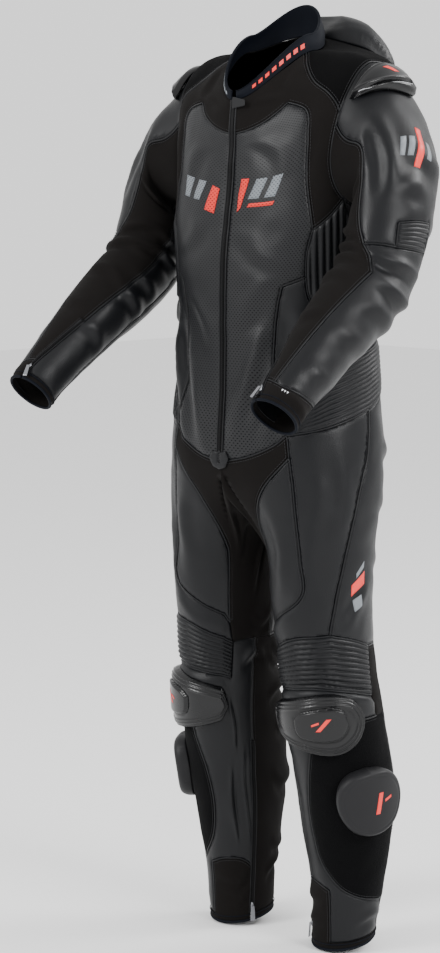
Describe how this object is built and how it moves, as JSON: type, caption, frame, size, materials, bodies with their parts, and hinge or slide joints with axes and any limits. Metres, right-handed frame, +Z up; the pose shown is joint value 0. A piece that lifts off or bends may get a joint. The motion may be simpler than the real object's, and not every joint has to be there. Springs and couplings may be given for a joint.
{
  "type": "motorcycle race suit",
  "caption": "One-piece leather and stretch-textile motorcycle race suit in its worn, hollow shape, with knee sliders, armour and an aero hump.",
  "frame": {"origin": "centre of the neck seam, where the wearer's neck and shoulders hold the suit", "axes": "+Z up, -Y the way the wearer faces, +X the wearer's left"},
  "size_m": [0.6094, 0.503, 1.4681],
  "materials": {
    "leather": "smooth black cowhide",
    "perforated_leather": "perforated black cowhide",
    "textile": "matte stretch textile",
    "loop_pile": "hook-and-loop pile",
    "armour": "satin moulded armour",
    "puck": "moulded knee slider",
    "collar": "soft navy-black neoprene",
    "zip": "moulded zip on woven tape",
    "pull": "satin metal"
  },
  "bodies": {
    "suit": {"ankle_left": "textile", "ankle_right": "textile", "ankle_zip_left": "zip", "ankle_zip_right": "zip", "back_hump": "leather", "back_panel": "leather", "back_yoke": "textile", "calf_left": "textile", "calf_right": "textile", "chest_yoke_left": "textile", "chest_yoke_right": "textile", "collar": "collar", "cuff_left": "textile", "cuff_right": "textile", "cuff_zip_left": "zip", "cuff_zip_right": "zip", "forearm_left": "leather", "forearm_right": "leather", "front_panel_left": "perforated_leather", "front_panel_right": "perforated_leather", "hip_rib_left": "leather", "hip_rib_right": "leather", "inner_thigh": "textile", "knee_armour_left": "armour", "knee_armour_right": "armour", "knee_puck_left": "puck", "knee_puck_right": "puck", "knee_rib_left": "leather", "knee_rib_right": "leather", "main_zip": "zip", "puck_field_left": "loop_pile", "puck_field_right": "loop_pile", "seat": "leather", "shin_left": "leather", "shin_right": "leather", "shoulder_armour_left": "armour", "shoulder_armour_right": "armour", "side_panel_left": "leather", "side_panel_right": "leather", "side_rib_left": "leather", "side_rib_right": "leather", "sleeve_inner_left": "leather", "sleeve_inner_right": "leather", "sleeve_rib_left": "leather", "sleeve_rib_right": "leather", "sleeve_textile_left": "textile", "sleeve_textile_right": "textile", "sleeve_upper_left": "leather", "sleeve_upper_right": "leather", "thigh_front_left": "leather", "thigh_front_right": "leather", "thigh_side_left": "leather", "thigh_side_right": "leather", "zip_end_tab": "leather"},
    "ankle_zip_pull_left": {"ankle_zip_pull_left": "pull"},
    "ankle_zip_pull_right": {"ankle_zip_pull_right": "pull"},
    "cuff_zip_pull_left": {"cuff_zip_pull_left": "pull"},
    "cuff_zip_pull_right": {"cuff_zip_pull_right": "pull"},
    "main_zip_pull": {"main_zip_pull": "leather"}
  },
  "joints": [
    {"name": "ankle_zip_left_pull_hinge", "type": "hinge", "parent": "suit", "child": "ankle_zip_pull_left", "pos_m": [0.06428, 0.00709, -1.36861], "axis": [-0.46, 0.8879, 0], "range_deg": [0, 110]},
    {"name": "ankle_zip_right_pull_hinge", "type": "hinge", "parent": "suit", "child": "ankle_zip_pull_right", "pos_m": [-0.06428, 0.00709, -1.36861], "axis": [-0.46, -0.8879, 0], "range_deg": [0, 110]},
    {"name": "cuff_zip_left_pull_hinge", "type": "hinge", "parent": "suit", "child": "cuff_zip_pull_left", "pos_m": [0.24813, -0.30258, -0.48331], "axis": [-0.9208, 0.39, 0], "range_deg": [0, 110]},
    {"name": "cuff_zip_right_pull_hinge", "type": "hinge", "parent": "suit", "child": "cuff_zip_pull_right", "pos_m": [-0.24813, -0.30258, -0.48331], "axis": [-0.9208, -0.39, 0], "range_deg": [0, 110]},
    {"name": "main_zip_pull_hinge", "type": "hinge", "parent": "suit", "child": "main_zip_pull", "pos_m": [0.0024, -0.10719, -0.08112], "axis": [0, -0.0698, -0.9976], "range_deg": [0, 95]}
  ]
}
